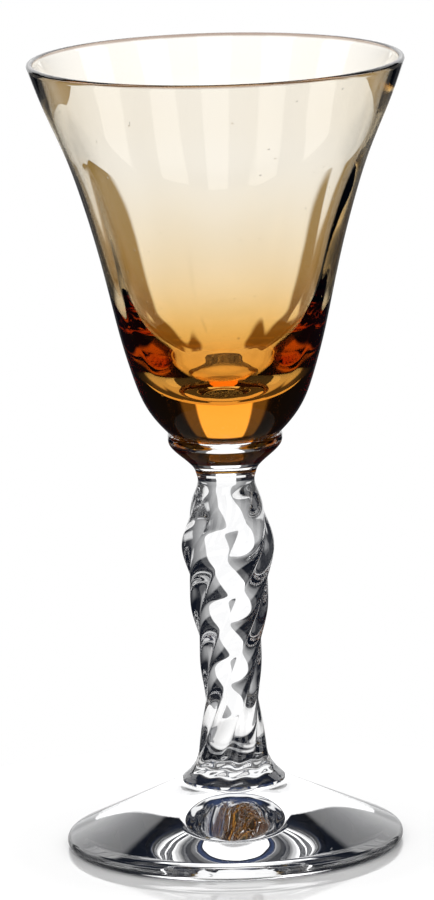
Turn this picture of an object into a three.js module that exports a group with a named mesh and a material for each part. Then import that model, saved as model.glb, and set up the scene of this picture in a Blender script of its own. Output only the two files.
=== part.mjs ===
import * as THREE from 'three';

// Cordial glass: an amber bowl, a clear collar, a clear twisted stem and a clear foot,
// four pieces of glass that stand on each other face to face where they were fused.
// Millimetres, +Z up. The origin is the middle of the plane that the foot rests on.

// Foot: a cone spun out flat, with a cone-shaped hollow underneath
const foot_radius = 24.3;
const foot_seat_height = 9.3;
const foot_seat_margin = 0.1;
const foot_edge_radius = 0.93;
const foot_rest_width = 3.2;
const foot_hollow_depth = 3.6;

// Stem: solid, swelling to a knop, drawn in to a waist and flared to a skirt
const stem_length = 45.1;
const stem_top_radius = 4.3;
const neck_radius = 4.1;
const neck_drop = 0.7;
const knop_radius = 6.65;
const knop_height_share = 0.763;
const waist_radius = 4.05;
const waist_height_share = 0.268;
const skirt_radius = 7.45;
const skirt_edge = 0.35;
const rib_count = 6;
const rib_depth = 0.8;
const rib_groove_softness_share = 0.12;
const twist_pitch = 54.4;
const groove_height_share = 0.262;
const rib_top_fade_share = 0.2;
const rib_skirt_fade_share = 0.16;

// Collar: a small saucer whose sharp lip stands round the bottom of the bowl
const collar_height = 5.3;
const collar_lip_height = 0.4;
const collar_lip_width = 0.2;
const joint_clearance = 0.3;

// Bowl: a flared bell with a thick solid bottom and eight soft panels blown inside
const bowl_height = 54.6;
const rim_radius = 26.9;
const bowl_seat_radius = 7.3;
const rim_wall = 0.9;
const flare_wall = 0.85;
const waist_wall = 1.0;
const belly_wall = 1.3;
const heel_wall = 1.85;
const knuckle_wall = 2.6;
const base_wall = 3.7;
const bowl_floor_thickness = 6.9;
const panel_count = 8;
const panel_relief = 0.2;
const panel_full_radius = 17;
const panel_softness_share = 0.12;
const panel_lean = THREE.MathUtils.degToRad(10);
const panel_fade_share = 0.5;

// How finely the round forms are cut
const bowl_segments = panel_count * 8;
const stem_segments = rib_count * 8;
const collar_segments = 48;
const foot_segments = 64;
const arc_steps = 4;
const hollow_steps = 8;
const collar_steps = 10;
const bowl_steps = 20;
const skirt_steps = 12;
const shaft_steps = 18;
const shoulder_steps = 10;

// Outlines from bottom to top: share of the height, share of the change in radius
const bowl_outer_shares = [
  [0, 0], [0.037, 0.1], [0.09, 0.204], [0.17, 0.291], [0.256, 0.36], [0.385, 0.443],
  [0.513, 0.526], [0.641, 0.625], [0.766, 0.742], [0.896, 0.895], [1, 1],
];
const collar_shares = [
  [0, 0], [0.12, 0.05], [0.26, 0.19], [0.49, 0.53], [0.7, 0.84], [0.86, 0.98], [1, 1],
];
const skirt_shares = [[0, 1], [0.15, 0.53], [0.4, 0.25], [0.75, 0.07], [1, 0]];
const shaft_shares = [[0, 0], [0.2, 0.13], [0.4, 0.28], [0.58, 0.56], [0.7, 0.65], [0.85, 0.83], [1, 1]];
const shoulder_shares = [[0, 1], [0.17, 0.93], [0.4, 0.69], [0.75, 0.26], [1, 0]];
// The hollow under the foot: share of its radius, share of its depth
const foot_hollow_shares = [[0, 1], [0.12, 0.95], [0.28, 0.75], [0.6, 0.38], [1, 0]];

// Where the cavity wall is measured: share of the bowl's height, wall there
const cavity_walls = [
  [0.25, base_wall], [0.3, knuckle_wall], [0.36, heel_wall], [0.5, belly_wall], [0.64, waist_wall],
  [0.77, flare_wall],
];
// The cavity's round floor: share of the radius and of the height of its lowest wall point
const cavity_floor_shares = [[0, 0], [0.3, 0.05], [0.55, 0.2], [0.79, 0.53]];

// Heights of the seats where one piece stands on the next
const stem_base = foot_seat_height;
const collar_base = stem_base + stem_length;
const bowl_base = collar_base + collar_height;

const amber_glass = new THREE.MeshStandardMaterial({
  name: 'amber_glass', color: 0xe9b04a, roughness: 0.03, metalness: 0, transparent: true, opacity: 0.7,
});
const clear_glass = new THREE.MeshStandardMaterial({
  name: 'clear_glass', color: 0xe8edf0, roughness: 0.03, metalness: 0, transparent: true, opacity: 0.6,
});

// A smooth run of [radius, height] points through hand-picked ones
function smooth(points, steps) {
  const curve = new THREE.SplineCurve(points.map(([radius, height]) => new THREE.Vector2(radius, height)));
  return curve.getPoints(steps);
}

function arc(radius, height, arc_radius, start, end) {
  const points = [];
  for (let step = 0; step <= arc_steps; step += 1) {
    const angle = THREE.MathUtils.lerp(start, end, step / arc_steps);
    const along = new THREE.Vector2(Math.cos(angle), Math.sin(angle));
    points.push(along.multiplyScalar(arc_radius).add(new THREE.Vector2(radius, height)));
  }
  return points;
}

// Rows of [height share, radius share] as points between two heights and two radii
function between(shares, bottom, top, radius, other_radius) {
  return shares.map(([height_share, radius_share]) => [
    THREE.MathUtils.lerp(radius, other_radius, radius_share),
    THREE.MathUtils.lerp(bottom, top, height_share),
  ]);
}

// The radius of an outline at a height, where the outline only rises
function radius_at(outline, height) {
  const next = Math.max(1, outline.findIndex((point) => point.y >= height));
  const [low, high] = [outline[next - 1], outline[next]];
  return THREE.MathUtils.mapLinear(height, low.y, high.y, low.x, high.x);
}

// A body turned about Z from an outline of points. change, where there is one, takes an
// outline point, its number and its angle, and gives its new radius and angle.
function turned(outline, segments, change) {
  const geometry = new THREE.LatheGeometry(outline, segments);
  const position = geometry.attributes.position;
  for (let index = 0; change && index < position.count; index += 1) {
    const row = index % outline.length;
    const angle = Math.atan2(position.getX(index), position.getZ(index));
    const place = change(outline[row], row, angle);
    position.setX(index, place.radius * Math.sin(place.angle));
    position.setZ(index, place.radius * Math.cos(place.angle));
  }
  geometry.rotateX(Math.PI / 2);
  return geometry;
}

// 0 on the crest of a rib or the middle of a panel, 1 in the line between two of them
function crease(turn, count, softness) {
  const wave = Math.cos(turn * count / 2);
  return 1 - (Math.hypot(wave, softness) - softness) / (Math.hypot(1, softness) - softness);
}

function piece(name, geometry, material, base) {
  const mesh = new THREE.Mesh(geometry, material);
  mesh.name = name;
  mesh.position.z = base;
  return mesh;
}

// The foot's seat is as wide as the stem's skirt with a margin round it, and its cone
// runs from there on to touch the rounded edge
function foot() {
  const seat = new THREE.Vector2(skirt_radius + foot_seat_margin, foot_seat_height);
  const edge = new THREE.Vector2(foot_radius - foot_edge_radius, foot_edge_radius);
  const to_seat = seat.clone().sub(edge);
  const cone_angle = to_seat.angle() - Math.acos(foot_edge_radius / to_seat.length());
  const hollow_radius = edge.x - foot_rest_width;
  const hollow = foot_hollow_shares.map(([out, depth]) => [hollow_radius * out, foot_hollow_depth * depth]);
  const outline = [
    ...smooth(hollow, hollow_steps),
    ...arc(edge.x, edge.y, foot_edge_radius, -Math.PI / 2, cone_angle),
    seat,
    new THREE.Vector2(0, foot_seat_height),
  ];
  return piece('foot', turned(outline, foot_segments), clear_glass, 0);
}

// The stem's ribs wind round it at an even pitch and fade into the neck and the skirt
function stem() {
  const neck_height = stem_length - neck_drop;
  const knop_height = stem_length * knop_height_share;
  const waist_height = stem_length * waist_height_share;
  const outline = [
    new THREE.Vector2(0, 0),
    new THREE.Vector2(skirt_radius, 0),
    ...smooth(between(skirt_shares, skirt_edge, waist_height, waist_radius, skirt_radius), skirt_steps),
    ...smooth(between(shaft_shares, waist_height, knop_height, waist_radius, knop_radius), shaft_steps).slice(1),
    ...smooth(between(shoulder_shares, knop_height, neck_height, neck_radius, knop_radius), shoulder_steps).slice(1),
    new THREE.Vector2(stem_top_radius, stem_length),
    new THREE.Vector2(0, stem_length),
  ];
  const groove_height = stem_length * groove_height_share;
  const twisted_rib = (point, row, angle) => {
    const share = point.y / stem_length;
    const fade = THREE.MathUtils.smoothstep(share, 0, rib_skirt_fade_share)
      * THREE.MathUtils.smoothstep(1 - share, 0, rib_top_fade_share);
    const depth = rib_depth * point.x / knop_radius * fade;
    const twist = (point.y - groove_height) / twist_pitch * 2 * Math.PI;
    return {
      radius: point.x - depth * crease(angle + Math.PI / rib_count, rib_count, rib_groove_softness_share),
      angle: angle + Math.PI / 2 + twist,
    };
  };
  return piece('stem', turned(outline, stem_segments, twisted_rib), clear_glass, stem_base);
}

// The bowl's outside, up to where the rounded lip starts
const lip_start = bowl_height - rim_wall / 2;
const bowl_outer = smooth(between(bowl_outer_shares, 0, lip_start, bowl_seat_radius, rim_radius), bowl_steps);

// The collar is as wide as the bowl is at the lip, with clearance and the lip's own width
function collar() {
  const lip_inner_radius = radius_at(bowl_outer, collar_lip_height) + joint_clearance;
  const lip_radius = lip_inner_radius + collar_lip_width;
  const outline = [
    new THREE.Vector2(0, 0),
    ...smooth(between(collar_shares, 0, collar_height, stem_top_radius, lip_radius), collar_steps),
    new THREE.Vector2(lip_radius, collar_height + collar_lip_height),
    new THREE.Vector2(lip_inner_radius, collar_height + collar_lip_height),
    new THREE.Vector2(bowl_seat_radius + joint_clearance, collar_height),
    new THREE.Vector2(0, collar_height),
  ];
  return piece('collar', turned(outline, collar_segments), clear_glass, collar_base);
}

// The cavity keeps its own wall from the bowl's outside, and the panels lie inside it.
// Their creases lean as they rise, and fade out just below the rim.
function bowl() {
  const lip_radius = rim_wall / 2;
  const walls = cavity_walls.map(([share, wall]) => [
    radius_at(bowl_outer, bowl_height * share) - wall,
    bowl_height * share,
  ]);
  const [floor_radius, floor_top] = walls[0];
  const floor = cavity_floor_shares.map(([radius_share, height_share]) => [
    floor_radius * radius_share,
    THREE.MathUtils.lerp(bowl_floor_thickness, floor_top, height_share),
  ]);
  const cavity = smooth([...floor, ...walls, [rim_radius - rim_wall, lip_start]], bowl_steps).reverse();
  const outside = [
    new THREE.Vector2(0, 0),
    ...bowl_outer,
    ...arc(rim_radius - lip_radius, lip_start, lip_radius, 0, Math.PI).slice(1, -1),
  ];
  const paneled = (point, row, angle) => {
    const rise = THREE.MathUtils.clamp(
      (point.y - bowl_floor_thickness) / (lip_start - bowl_floor_thickness), 0, 1,
    );
    const fade = Math.min(1, (1 - rise) / panel_fade_share);
    const spread = Math.min(1, point.x / panel_full_radius);
    const relief = row < outside.length ? 0 : panel_relief * fade * spread;
    return {
      radius: point.x - relief * crease(angle, panel_count, panel_softness_share),
      angle: angle + panel_lean * rise,
    };
  };
  return piece('bowl', turned([...outside, ...cavity], bowl_segments, paneled), amber_glass, bowl_base);
}

const cordial_glass = new THREE.Group();
cordial_glass.add(foot(), stem(), collar(), bowl());

export default cordial_glass;
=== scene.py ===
import math

import bpy
import numpy as np
from mathutils import Matrix, Vector


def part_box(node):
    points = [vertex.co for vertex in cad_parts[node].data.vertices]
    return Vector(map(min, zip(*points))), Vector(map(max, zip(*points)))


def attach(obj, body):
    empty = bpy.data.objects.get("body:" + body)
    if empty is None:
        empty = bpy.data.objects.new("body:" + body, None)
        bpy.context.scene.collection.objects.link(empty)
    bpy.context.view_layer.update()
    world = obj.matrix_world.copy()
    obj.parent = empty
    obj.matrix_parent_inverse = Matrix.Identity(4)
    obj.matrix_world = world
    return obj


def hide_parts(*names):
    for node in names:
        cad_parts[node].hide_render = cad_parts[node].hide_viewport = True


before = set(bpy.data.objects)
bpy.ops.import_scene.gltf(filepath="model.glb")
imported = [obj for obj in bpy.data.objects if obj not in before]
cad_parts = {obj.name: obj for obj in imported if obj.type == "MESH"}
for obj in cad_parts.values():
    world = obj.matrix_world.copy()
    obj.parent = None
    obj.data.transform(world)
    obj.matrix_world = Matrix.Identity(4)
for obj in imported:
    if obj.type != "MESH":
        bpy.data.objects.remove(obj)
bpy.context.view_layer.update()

# Lengths are millimetres, except the camera's
MM = 0.001
scene = bpy.context.scene


def box_mm(node):
    """A node's lowest and highest corners, in millimetres."""
    low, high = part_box(node)
    return [value / MM for value in low], [value / MM for value in high]


foot_low, foot_high = box_mm("foot")
stem_low, stem_high = box_mm("stem")
collar_low, collar_high = box_mm("collar")
bowl_low, bowl_high = box_mm("bowl")

# Foot
foot_radius = (foot_high[0] - foot_low[0]) / 2
foot_seat_height = foot_high[2]
foot_seat_margin = 0.1
foot_edge_radius = 0.93
foot_rest_width = 3.2
foot_hollow_depth = 3.6

# Stem
stem_base = stem_low[2]
stem_length = stem_high[2] - stem_low[2]
stem_top_radius = 4.3
neck_radius = 4.1
neck_drop = 0.7
knop_radius = 6.65
knop_height_share = 0.763
waist_radius = 4.05
waist_height_share = 0.268
skirt_radius = (stem_high[0] - stem_low[0]) / 2
skirt_edge = 0.35
rib_count = 6
rib_depth = 0.8
rib_groove_softness_share = 0.12
twist_pitch = 54.4
groove_height_share = 0.262
rib_top_fade_share = 0.2
rib_skirt_fade_share = 0.16

# Fine waves round the skirt, at heights above its base. They sway, in radians, on their way round.
wave_depth = 0.038
wave_pitch = 1.1
wave_start = 0.5
wave_fade = 3.0
wave_top = 5.0
wave_count = 11
wave_sway = 1.2

# Collar
collar_base = collar_low[2]
collar_height = bowl_low[2] - collar_low[2]
collar_lip_height = collar_high[2] - bowl_low[2]
collar_lip_width = 0.2
joint_clearance = 0.3

# Bowl
bowl_base = bowl_low[2]
bowl_height = bowl_high[2] - bowl_low[2]
rim_radius = 26.88
bowl_seat_radius = 7.3
rim_wall = 0.9
flare_wall = 0.85
waist_wall = 1.0
belly_wall = 1.3
heel_wall = 1.85
knuckle_wall = 2.6
base_wall = 3.7
bowl_floor_thickness = 6.9
panel_count = 8
panel_relief = 0.2
panel_full_radius = 17.0
panel_softness_share = 0.12
panel_lean = math.radians(10)
panel_fade_share = 0.5

# Between two fused pieces the meshes leave this much, so that a ray meets one face at a time
joint_slit = 0.02

# Outlines from bottom to top: share of the height, share of the change in radius
bowl_outer_shares = [
    (0, 0), (0.037, 0.1), (0.09, 0.204), (0.17, 0.291), (0.256, 0.36), (0.385, 0.443),
    (0.513, 0.526), (0.641, 0.625), (0.766, 0.742), (0.896, 0.895), (1, 1),
]
collar_shares = [(0, 0), (0.12, 0.05), (0.26, 0.19), (0.49, 0.53), (0.7, 0.84), (0.86, 0.98), (1, 1)]
skirt_shares = [(0, 1), (0.15, 0.53), (0.4, 0.25), (0.75, 0.07), (1, 0)]
shaft_shares = [(0, 0), (0.2, 0.13), (0.4, 0.28), (0.58, 0.56), (0.7, 0.65), (0.85, 0.83), (1, 1)]
shoulder_shares = [(0, 1), (0.17, 0.93), (0.4, 0.69), (0.75, 0.26), (1, 0)]

# The foot's hollow: share of its radius, share of its depth
foot_hollow_shares = [(0, 1), (0.12, 0.95), (0.28, 0.75), (0.6, 0.38), (1, 0)]

# The cavity's wall from bottom to top: share of the bowl's height, thickness
cavity_walls = [
    (0.25, base_wall), (0.3, knuckle_wall), (0.36, heel_wall), (0.5, belly_wall), (0.64, waist_wall),
    (0.77, flare_wall),
]

# The cavity's floor from the middle: share of its radius, share of its rise
cavity_floor_shares = [(0, 0), (0.3, 0.05), (0.55, 0.2), (0.79, 0.53)]

# How finely the outlines and the turns are divided
turn_segments = 192
bowl_segments = 256
bowl_steps = 120
stem_steps = 360
collar_steps = 60
cone_steps = 24
rest_steps = 4
edge_steps = 16

# Faces this level can be fused faces, and edges sharper than this stay sharp
level_normal = 0.999
sharp_angle = math.radians(35)


# Outlines

def smooth(points, steps):
    """A smooth run through given points, without jumps in its bend, as an array."""
    points = np.array(points, float)
    spans = np.hypot(*np.diff(points, axis=0).T)
    along = np.concatenate([[0], np.cumsum(spans)])
    count = len(points)
    system = np.zeros((count, count))
    target = np.zeros((count, 2))
    system[0, 0] = system[-1, -1] = 1
    for i in range(1, count - 1):
        before, after = spans[i - 1], spans[i]
        system[i, i - 1:i + 2] = before, 2 * (before + after), after
        target[i] = 6 * ((points[i + 1] - points[i]) / after - (points[i] - points[i - 1]) / before)
    bend = np.linalg.solve(system, target)
    places = np.linspace(0, along[-1], steps + 1)
    span = np.clip(np.searchsorted(along, places, side="right") - 1, 0, count - 2)
    length = spans[span][:, None]
    low = (along[span + 1] - places)[:, None] / length
    high = 1 - low
    return (low * points[span] + high * points[span + 1]
            + ((low ** 3 - low) * bend[span] + (high ** 3 - high) * bend[span + 1]) * length ** 2 / 6)


def between(shares, bottom, top, radius, other_radius):
    """Rows of (height share, radius share) as points between two heights and two radii."""
    return [(radius + (other_radius - radius) * across, bottom + (top - bottom) * up)
            for up, across in shares]


def arc(radius, height, arc_radius, start, end, steps):
    angles = np.linspace(start, end, steps + 1)
    return np.stack([radius + arc_radius * np.cos(angles), height + arc_radius * np.sin(angles)], -1)


def line(start, end, steps):
    return np.linspace(start, end, steps + 1)


def crease(turn, count, softness):
    """0 on the crest of a rib or the middle of a panel, 1 in the line between two of them."""
    wave = np.cos(turn * count / 2)
    return 1 - (np.hypot(wave, softness) - softness) / (math.hypot(1, softness) - softness)


def smoothstep(value, low, high):
    share = np.clip((value - low) / (high - low), 0, 1)
    return share * share * (3 - 2 * share)


# Meshes

def turned_piece(name, outline, base, segments, joints, change=None):
    """A closed body turned about Z. The outline starts and ends on the axis, joints are the
    heights and radii of its fused discs, and change shapes the rings: it takes the arrays of
    radii, angles and heights, and gives the new radii and angles."""
    outline = np.asarray(outline, float)
    rows = outline[1:-1]
    angles = np.linspace(0, 2 * math.pi, segments, endpoint=False)
    radius = np.repeat(rows[:, :1], segments, 1)
    height = np.repeat(rows[:, 1:], segments, 1)
    angle = np.repeat(angles[None], len(rows), 0)
    if change is not None:
        radius, angle = change(radius, angle, height)
    ring = np.stack([radius * np.sin(angle), -radius * np.cos(angle), height], -1).reshape(-1, 3)
    ends = np.array([[0, 0, outline[0, 1]], [0, 0, outline[-1, 1]]])
    points = np.concatenate([ring, ends]) + [0, 0, base]
    index = np.arange(len(rows) * segments).reshape(len(rows), segments)
    beside = np.roll(index, -1, 1)
    quads = np.stack([index[:-1], beside[:-1], beside[1:], index[1:]], -1).reshape(-1, 4)
    first, last = len(ring), len(ring) + 1
    faces = [(first, b, a) for a, b in zip(index[0], beside[0])]
    faces += quads.tolist()
    faces += [(last, a, b) for a, b in zip(index[-1], beside[-1])]
    mesh = bpy.data.meshes.new(name)
    mesh.from_pydata((points * MM).tolist(), [], [[int(i) for i in face] for face in faces])
    mesh.shade_smooth()
    fused = mesh.attributes.new("joint", "FLOAT", "FACE")
    for face in mesh.polygons:
        level = face.center.z / MM - base
        out = math.hypot(face.center.x, face.center.y) / MM
        flat = abs(face.normal.z) > level_normal
        on_joint = flat and any(abs(level - height) < joint_slit and out < reach for height, reach in joints)
        fused.data[face.index].value = float(on_joint)
    mesh.set_sharp_from_angle(angle=sharp_angle)
    piece = bpy.data.objects.new(name, mesh)
    scene.collection.objects.link(piece)
    return piece


def foot_piece():
    seat = Vector((skirt_radius + foot_seat_margin, foot_seat_height))
    edge = Vector((foot_radius - foot_edge_radius, foot_edge_radius))
    to_seat = seat - edge
    cone_angle = math.atan2(to_seat.y, to_seat.x) - math.acos(foot_edge_radius / to_seat.length)
    hollow_radius = edge.x - foot_rest_width
    hollow = [(hollow_radius * out, foot_hollow_depth * depth) for out, depth in foot_hollow_shares]
    rim = arc(edge.x, edge.y, foot_edge_radius, -math.pi / 2, cone_angle, edge_steps)
    outline = np.concatenate([
        smooth(hollow, cone_steps), line(hollow[-1], rim[0], rest_steps)[1:], rim[1:],
        line(rim[-1], seat, cone_steps)[1:], [(skirt_radius, foot_seat_height), (0, foot_seat_height)],
    ])
    return turned_piece("clear_foot", outline, 0, turn_segments, [(foot_seat_height, skirt_radius)])


def stem_piece():
    neck_height = stem_length - neck_drop
    knop_height = stem_length * knop_height_share
    waist_height = stem_length * waist_height_share
    top = stem_length - joint_slit
    skirt = between(skirt_shares, skirt_edge, waist_height, waist_radius, skirt_radius)
    shaft = between(shaft_shares, waist_height, knop_height, waist_radius, knop_radius)
    shoulder = between(shoulder_shares, knop_height, neck_height, neck_radius, knop_radius)
    outline = np.concatenate([
        [(0, joint_slit), (skirt_radius, joint_slit)],
        smooth(skirt + shaft[1:] + shoulder[1:] + [(stem_top_radius, stem_length)], stem_steps),
        [(0, top)],
    ])
    outline[-2, 1] = top

    def twisted(radius, angle, height):
        share = height / stem_length
        fade = smoothstep(share, 0, rib_skirt_fade_share) * smoothstep(1 - share, 0, rib_top_fade_share)
        depth = rib_depth * radius / knop_radius * fade
        groove = crease(angle + math.pi / rib_count, rib_count, rib_groove_softness_share)
        twist = (height - stem_length * groove_height_share) / twist_pitch * 2 * math.pi
        in_skirt = smoothstep(height, 0, wave_start) * smoothstep(-height, -wave_top, -wave_fade)
        sway = np.sin(angle * wave_count) * wave_sway
        wave = wave_depth * in_skirt * np.sin(height / wave_pitch * 2 * math.pi + sway)
        return radius - depth * groove - wave, angle + math.pi / 2 + twist

    joints = [(joint_slit, skirt_radius), (top, stem_top_radius)]
    return turned_piece("clear_stem", outline, stem_base, turn_segments, joints, twisted)


lip_start = bowl_height - rim_wall / 2
bowl_outer = smooth(between(bowl_outer_shares, 0, lip_start, bowl_seat_radius, rim_radius), bowl_steps)


def bowl_radius_at(height):
    return float(np.interp(height, bowl_outer[:, 1], bowl_outer[:, 0]))


def collar_piece():
    lip_inner = bowl_radius_at(collar_lip_height) + joint_clearance
    lip_outer = lip_inner + collar_lip_width
    lip_top = collar_height + collar_lip_height
    top = collar_height - joint_slit
    outline = np.concatenate([
        [(0, 0)],
        smooth(between(collar_shares, 0, collar_height, stem_top_radius, lip_outer), collar_steps),
        [(lip_outer, lip_top), (lip_inner, lip_top), (bowl_seat_radius + joint_clearance, top),
         (bowl_seat_radius, top), (0, top)],
    ])
    joints = [(0, stem_top_radius), (top, bowl_seat_radius)]
    return turned_piece("clear_collar", outline, collar_base, turn_segments, joints)


def bowl_piece():
    lip = arc(rim_radius - rim_wall / 2, lip_start, rim_wall / 2, 0, math.pi, edge_steps)
    walls = [(bowl_radius_at(bowl_height * share) - wall, bowl_height * share)
             for share, wall in cavity_walls]
    floor_radius, floor_top = walls[0]
    floor = [(floor_radius * out, bowl_floor_thickness + (floor_top - bowl_floor_thickness) * up)
             for out, up in cavity_floor_shares]
    cavity = smooth(floor + walls + [tuple(lip[-1])], bowl_steps)[::-1]
    outside = np.concatenate([[(0, 0)], bowl_outer, lip[1:-1]])
    outline = np.concatenate([outside, cavity])

    def paneled(radius, angle, height):
        inside = (np.arange(len(radius)) >= len(outside) - 1)[:, None]
        rise = (height - bowl_floor_thickness) / (lip_start - bowl_floor_thickness)
        fall = np.clip((1 - rise) / panel_fade_share, 0, 1)
        relief = np.where(inside, panel_relief * fall * np.minimum(1, radius / panel_full_radius), 0)
        ridged = radius - relief * crease(angle, panel_count, panel_softness_share)
        return ridged, angle + panel_lean * np.clip(rise, 0, 1)

    return turned_piece("amber_bowl", outline, bowl_base, bowl_segments, [(0, bowl_seat_radius)], paneled)


# Node helpers

class Nodes:
    """Adds nodes to a tree, each with its inputs given as values or as other nodes' outputs."""

    def __init__(self, tree):
        self.tree = tree
        tree.nodes.clear()

    def add(self, kind, inputs=None, **settings):
        node = self.tree.nodes.new(kind)
        for name, value in settings.items():
            setattr(node, name, value)
        for key, value in (inputs or {}).items():
            if isinstance(value, bpy.types.NodeSocket):
                self.tree.links.new(value, node.inputs[key])
            else:
                node.inputs[key].default_value = value
        return node

    def math(self, operation, *values, clamp=False):
        node = self.add("ShaderNodeMath", dict(enumerate(values)), operation=operation, use_clamp=clamp)
        return node.outputs[0]

    def along(self, operation, found, *others):
        """One operation taken along all the values."""
        for other in others:
            found = self.math(operation, found, other)
        return found

    def times(self, *values):
        return self.along("MULTIPLY", *values)

    def most(self, *values):
        return self.along("MAXIMUM", *values)

    def rest(self, value):
        """What the value lacks to 1."""
        return self.math("SUBTRACT", 1.0, value)

    def ramp(self, value, low, high, bottom=0.0, top=1.0, bend="SMOOTHSTEP"):
        """A soft step of value from bottom to top between low and high."""
        inputs = {"Value": value, "From Min": low, "From Max": high, "To Min": bottom, "To Max": top}
        return self.add("ShaderNodeMapRange", inputs, interpolation_type=bend).outputs["Result"]

    def step(self, angle, degrees, softness, bottom, top):
        """A soft step where an angle, in radians, passes a number of degrees."""
        low = math.radians(degrees - softness)
        high = math.radians(degrees + softness)
        return self.ramp(angle, low, high, bottom, top)

    def band(self, angle, low, high, softness):
        """1 where an angle, in radians, lies between two numbers of degrees, and 0 elsewhere."""
        return self.times(self.step(angle, low, softness, 0, 1), self.step(angle, high, softness, 1, 0))

    def mix(self, share, colour, other, blend="MIX"):
        """A colour, and as much of another as share says."""
        inputs = {"Factor": share, 6: colour, 7: other}
        return self.add("ShaderNodeMix", inputs, data_type="RGBA", blend_type=blend).outputs[2]


# Materials

white = (1, 1, 1, 1)
glass_ior = 1.52
air_ior = 1.0
# What amber glass takes out of light in a metre, for red, green and blue
amber_take = (8.0, 44.0, 120.0)
# What its skin lets through at the bottom, the heights between which that fades, and how fast
amber_deep = (0.97, 0.76, 0.4, 1)
amber_low = 70
amber_high = 100
amber_fade = 2.0
# Painted shade: the skin is darker from one depth under the rim to another, standing in for light that runs
# round inside the lip and makes its edge look darker
lip_painted_shade = (0.4, 0.29, 0.24, 1)
lip_shade_drop = 0.6
lip_shade_full_drop = 0.3
# The ripple has this many waves in a metre
ripple_scale = 160.0
ripple_depth = 0.01
# Seeds are small bubbles blown into the glass. Their radius is a share of a cell, of so many in a metre.
seed_scale = 250.0
seed_radius_share = 0.045
seed_depth = 0.03


def amber_skin_and_lip_shade(nodes, place):
    """The colour of the bowl's skin: deep amber at the bottom, clear above it, with painted shade darkening
    it at the lip.
    """
    height = nodes.add("ShaderNodeSeparateXYZ", {"Vector": place}).outputs["Z"]
    near_bottom = nodes.ramp(height, amber_low * MM, amber_high * MM, 1.0, 0.0, "LINEAR")
    near_bottom = nodes.math("POWER", near_bottom, amber_fade)
    # Painted shade near the rim, mixed into the skin's colour
    lip_shade_share = nodes.ramp(height, (bowl_high[2] - lip_shade_drop) * MM, (bowl_high[2] - lip_shade_full_drop) * MM)
    return nodes.mix(lip_shade_share, nodes.mix(near_bottom, white, amber_deep), lip_painted_shade)


def glass(name, take=None):
    """Fire-polished glass. Its fused faces bend nothing, as inside one lump."""
    material = bpy.data.materials.new(name)
    material.use_nodes = True
    nodes = Nodes(material.node_tree)
    joint = nodes.add("ShaderNodeAttribute", attribute_name="joint").outputs["Fac"]
    place = nodes.add("ShaderNodeTexCoord").outputs["Object"]
    ripple = nodes.add("ShaderNodeTexNoise", {"Vector": place, "Scale": ripple_scale, "Detail": 1.0})
    rippled = nodes.add("ShaderNodeBump", {
        "Height": ripple.outputs["Fac"], "Distance": ripple_depth * MM, "Strength": 1.0})
    cell = nodes.add("ShaderNodeTexVoronoi", {"Vector": place, "Scale": seed_scale}).outputs["Distance"]
    seeds = nodes.ramp(cell, seed_radius_share / 2, seed_radius_share, 1, 0)
    bump = nodes.add("ShaderNodeBump", {
        "Height": seeds, "Distance": seed_depth * MM, "Strength": 1.0, "Normal": rippled.outputs["Normal"]})
    # The amber skin's colour holds painted shade at the lip
    surface = nodes.add("ShaderNodeBsdfPrincipled", {
        "Base Color": amber_skin_and_lip_shade(nodes, place) if take else white, "Roughness": 0.0,
        "Transmission Weight": 1.0, "IOR": nodes.ramp(joint, 0, 1, glass_ior, air_ior),
        "Normal": bump.outputs["Normal"],
    })
    output = nodes.add("ShaderNodeOutputMaterial", {"Surface": surface.outputs["BSDF"]})
    if take:
        strongest = max(take)
        tint = tuple(1 - part / strongest for part in take) + (1,)
        volume = nodes.add("ShaderNodeVolumeAbsorption", {"Color": tint, "Density": strongest})
        nodes.tree.links.new(volume.outputs["Volume"], output.inputs["Volume"])
    return material


clear_glass = glass("clear_glass")
amber_glass = glass("amber_glass", amber_take)

pieces = [
    (foot_piece(), "foot", clear_glass, "clear_glass"),
    (stem_piece(), "stem", clear_glass, "clear_glass"),
    (collar_piece(), "collar", clear_glass, "clear_glass"),
    (bowl_piece(), "bowl", amber_glass, "amber_glass"),
]
for piece, node, material, slot in pieces:
    piece.data.materials.append(material)
    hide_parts(node)
    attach(piece, "root")


# Floor: a round white glossy sheet. It turns pure white away from the glass.

floor_radius = 60
floor_corners = 128
floor_drop = 0.02
floor_fade_start = 30
floor_fade_end = 55
floor_glow = 0.3
floor_white = 0.8
# After a reflection inside the glass a ray finds the floor this dark
floor_grey = 0.1
floor_gloss = 0.5
floor_ior = 1.5


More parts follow.
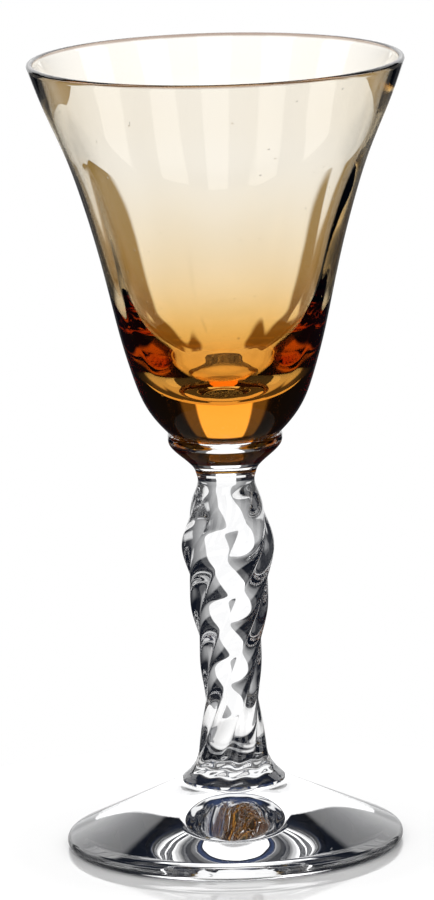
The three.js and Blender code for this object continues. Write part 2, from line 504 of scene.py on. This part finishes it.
def floor_piece():
    mesh = bpy.data.meshes.new("floor")
    angles = np.linspace(0, 2 * math.pi, floor_corners, endpoint=False)
    corners = np.stack([np.cos(angles), np.sin(angles), 0 * angles], -1) * floor_radius * MM
    mesh.from_pydata(corners.tolist(), [], [list(range(len(corners)))])
    floor = bpy.data.objects.new("floor", mesh)
    scene.collection.objects.link(floor)
    material = bpy.data.materials.new("white_floor")
    material.use_nodes = True
    nodes = Nodes(material.node_tree)
    place = nodes.add("ShaderNodeTexCoord").outputs["Object"]
    distance = nodes.add("ShaderNodeVectorMath", {0: place}, operation="LENGTH").outputs["Value"]
    path = nodes.add("ShaderNodeLightPath").outputs
    seen = nodes.math("ADD", path["Is Camera Ray"], path["Is Glossy Ray"], clamp=True)
    seen = nodes.math("ADD", seen, path["Is Transmission Ray"], clamp=True)
    plain = nodes.math("SUBTRACT", 1.0, path["Glossy Depth"], clamp=True)

    def outwards(near, far):
        return nodes.ramp(distance, floor_fade_start * MM, floor_fade_end * MM, near, far)

    surface = nodes.add("ShaderNodeBsdfPrincipled", {
        "Base Color": nodes.ramp(plain, 0, 1, floor_grey, floor_white), "Roughness": 0.0,
        "IOR": floor_ior, "Specular IOR Level": outwards(floor_gloss, 0), "Emission Color": white,
        "Emission Strength": nodes.times(seen, plain, outwards(0, floor_glow)),
    })
    nodes.add("ShaderNodeOutputMaterial", {"Surface": surface.outputs["BSDF"]})
    mesh.materials.append(material)
    floor.location.z = -floor_drop * MM


floor_piece()


# World: white to the camera and for soft light. What the glass sees is a studio: a bright
# backdrop behind it and others round it, a glossy table that mirrors them, and a dark room.
# Bearings are degrees from straight behind the glass, and tilts are degrees above the level.
# An edge is a place and its softness, and a band is two places and their softness.

# A ray that has crossed more faces than the first of these looks through the bowl's thin walls
crossed_faces = (2, 3)

backdrop_level = 1.7
low_backdrop_level = 1.05
crossed_backdrop_level = 1.06
backdrop_half_width = 14.0
crossed_half_width = 5.0
high_half_width = 32.0
high_width_edge = (-11.2, 0.6)
backdrop_edge = (0, 1)
bright_backdrop_edge = (8, 3)
backdrop_top_edge = (42, 2)
fringe_edge = (22.5, 1.5)
fringe_level = 0.1

side_backdrop_band = (78, 102, 1)
near_backdrop_band = (124, 146, 1)
front_backdrop_edge = (168, 1)
low_mirror_edge = (1, 1)

horizon_tilt = -7
crossed_horizon_tilt = 6
horizon_edge = (0, 1.5)

table_edge = (32, 20)
table_level = 0.45
far_table_level = 0.03
bounced_table_share = 0.15
mirror_share = 0.04
mirror_power = 5.0
lit_table_edge = (-56, 4)
lit_table_level = 1.05
near_table_edge = (110, 15)
near_table_tilt_edge = (-28, 3)
near_table_level = 0.8

warm_table_colour = (0.27, 0.17, 0.05, 1)
pale_table_colour = (0.37, 0.25, 0.085, 1)
pale_table_edge = (-19, 5)
coloured_table_edge = (55, 20)

front_edge = (122, 15)
front_band = (22, 55, 5)
front_level = 0.7

corner_band = (34, 56, 3)
low_corner_band = (-32, -19, 3)
low_corner_level = 0.8
high_corner_band = (16, 36, 1)

through_edge = (58, 4)
through_level = 1.05

room_colour = (0.006, 0.008, 0.014, 1)
sky_colour = (0.04, 0.06, 0.13, 1)
sky_edge = (50, 6)


class View:
    """A ray that leaves the glass for the studio: its bearing, its tilt and how it came."""

    def __init__(self, nodes):
        way = nodes.add("ShaderNodeTexCoord").outputs["Generated"]
        axes = nodes.add("ShaderNodeSeparateXYZ", {"Vector": way}).outputs
        self.bearing = nodes.math("ABSOLUTE", nodes.math("ARCTAN2", axes["X"], axes["Y"]))
        self.tilt = nodes.math("ARCSINE", axes["Z"])
        self.steepness = nodes.math("ABSOLUTE", self.tilt)
        path = nodes.add("ShaderNodeLightPath").outputs
        self.refracted = path["Is Transmission Ray"]
        self.mirrored = nodes.times(path["Is Reflection Ray"], path["Is Glossy Ray"])
        self.bounces = path["Glossy Depth"]
        self.bounced = nodes.math("MINIMUM", self.bounces, 1.0)
        self.direct = nodes.most(nodes.rest(self.bounced), self.mirrored)
        self.crossed = nodes.ramp(path["Transmission Depth"], *crossed_faces)


def back_width(nodes, view):
    """The backdrop behind the glass, from 0 to 1, wider or narrower by the way a ray came."""
    through_walls = nodes.step(
        view.tilt, *high_width_edge, math.radians(crossed_half_width), math.radians(high_half_width))
    altered = nodes.most(view.crossed, view.bounced)
    half_width = nodes.ramp(altered, 0, 1, math.radians(backdrop_half_width), through_walls)
    return nodes.step(nodes.math("SUBTRACT", view.bearing, half_width), *backdrop_edge, 1, 0)


def other_widths(nodes, view):
    """The backdrops beside and in front of the glass, which no low mirrored ray finds."""
    found = nodes.most(
        nodes.band(view.bearing, *side_backdrop_band),
        nodes.band(view.bearing, *near_backdrop_band),
        nodes.step(view.bearing, *front_backdrop_edge, 0, 1))
    low_mirrored = nodes.times(view.mirrored, nodes.step(view.tilt, *low_mirror_edge, 1, 0))
    return nodes.times(found, nodes.math("SUBTRACT", view.direct, low_mirrored))


def backdrop_light(nodes, view, back, others):
    fringe = nodes.step(view.bearing, *fringe_edge, fringe_level, 0)
    fringe = nodes.times(fringe, nodes.rest(view.crossed))
    level = nodes.step(view.steepness, *bright_backdrop_edge, low_backdrop_level, backdrop_level)
    level = nodes.ramp(view.crossed, 0, 1, level, crossed_backdrop_level)
    level = nodes.times(level, nodes.step(view.steepness, *backdrop_top_edge, 1, 0))
    return nodes.times(nodes.most(back, fringe, others), level)


def table_light(nodes, view, back, others, backdrops):
    """The table's own light with the backdrops mirrored in it, and its parts that are lit more."""
    own = nodes.times(
        nodes.step(view.bearing, *table_edge, table_level, far_table_level),
        nodes.rest(view.crossed),
        nodes.ramp(view.bounces, 0, 1, 1, bounced_table_share),
        nodes.rest(view.mirrored))
    grazing = nodes.math("POWER", nodes.rest(nodes.math("SINE", view.steepness)), mirror_power)
    mirror = nodes.math("ADD", nodes.times(grazing, 1 - mirror_share), mirror_share)
    glossy = nodes.math("ADD", nodes.times(mirror, backdrops), own)
    lit = nodes.times(
        nodes.most(back, others),
        nodes.step(view.tilt, *lit_table_edge, 0, lit_table_level),
        nodes.rest(view.mirrored))
    near = nodes.times(
        nodes.step(view.bearing, *near_table_edge, 1, 0),
        nodes.step(view.tilt, *near_table_tilt_edge, near_table_level, 0),
        nodes.rest(view.direct))
    return nodes.most(glossy, lit, near)


def corner_light(nodes, view):
    """Light from the back corners, seen low through the glass or mirrored high on it."""
    corner = nodes.times(nodes.band(view.bearing, *corner_band), view.direct)
    low = nodes.times(
        corner,
        nodes.band(view.tilt, *low_corner_band),
        nodes.rest(view.mirrored),
        nodes.ramp(view.crossed, 0, 1, low_corner_level, 1))
    high = nodes.times(corner, nodes.band(view.tilt, *high_corner_band), view.mirrored, backdrop_level)
    return nodes.most(low, high)


def room_light(nodes, view, back, above):
    """The dark room and its cooler ceiling, with the table's colour seen through the bowl."""
    room = nodes.mix(nodes.step(view.tilt, *sky_edge, 0, 1), room_colour, sky_colour)
    table = nodes.mix(nodes.step(view.tilt, *pale_table_edge, 0, 1), warm_table_colour, pale_table_colour)
    on_table = nodes.times(
        view.crossed,
        nodes.rest(above),
        nodes.step(view.bearing, *coloured_table_edge, 1, 0),
        nodes.rest(back))
    return nodes.mix(on_table, room, table)


def white_surround():
    world = bpy.data.worlds.new("studio")
    scene.world = world
    world.use_nodes = True
    nodes = Nodes(world.node_tree)
    view = View(nodes)
    back = back_width(nodes, view)
    others = other_widths(nodes, view)
    backdrops = backdrop_light(nodes, view, back, others)
    table = table_light(nodes, view, back, others, backdrops)
    front = nodes.times(
        nodes.step(view.bearing, *front_edge, 0, front_level),
        nodes.rest(view.direct),
        nodes.band(view.tilt, *front_band))
    horizon = nodes.ramp(view.crossed, 0, 1, math.radians(horizon_tilt), math.radians(crossed_horizon_tilt))
    above = nodes.step(nodes.math("SUBTRACT", view.tilt, horizon), *horizon_edge, 0, 1)
    studio = nodes.add("ShaderNodeMix", {
        "Factor": above, "A": nodes.most(table, front), "B": nodes.most(backdrops, front),
    }, data_type="FLOAT").outputs[0]
    through = nodes.times(
        view.crossed, nodes.rest(view.bounced), nodes.step(view.bearing, *through_edge, 0, through_level))
    studio = nodes.most(studio, corner_light(nodes, view), through)
    light = nodes.mix(1.0, room_light(nodes, view, back, above), studio, "ADD")
    by_glass = nodes.math("ADD", view.mirrored, view.refracted, clamp=True)
    seen = nodes.mix(by_glass, white, light)
    background = nodes.add("ShaderNodeBackground", {"Color": seen, "Strength": 1.0})
    nodes.add("ShaderNodeOutputWorld", {"Surface": background.outputs["Background"]})


white_surround()


# Camera, at the photograph's height, distance and tilt, in metres

camera_distance_m = 0.9988
camera_height_m = 0.2552
camera_pitch = math.radians(11.187)
camera_yaw = math.radians(-0.069)
camera_roll = math.radians(-1.522)
focal_px = 7102.5
frame_height_px = 900
sensor_mm = 24


def make_camera():
    data = bpy.data.cameras.new("camera")
    data.sensor_fit = "VERTICAL"
    data.sensor_height = sensor_mm
    data.lens = focal_px / frame_height_px * sensor_mm
    camera = bpy.data.objects.new("camera", data)
    scene.collection.objects.link(camera)
    ahead = Vector((math.sin(camera_yaw) * math.cos(camera_pitch),
                    math.cos(camera_yaw) * math.cos(camera_pitch), -math.sin(camera_pitch)))
    level_right = Vector((math.cos(camera_yaw), -math.sin(camera_yaw), 0))
    level_up = level_right.cross(ahead)
    right = math.cos(camera_roll) * level_right + math.sin(camera_roll) * level_up
    up = right.cross(ahead)
    turn = Matrix((right, up, -ahead)).transposed().to_4x4()
    camera.matrix_world = Matrix.Translation((0, -camera_distance_m, camera_height_m)) @ turn
    scene.camera = camera


make_camera()

# Light has to cross many faces of glass
face_limit = 32
mirror_limit = 16
scene.cycles.max_bounces = face_limit
scene.cycles.transmission_bounces = face_limit
scene.cycles.glossy_bounces = mirror_limit
scene.view_settings.view_transform = "Standard"
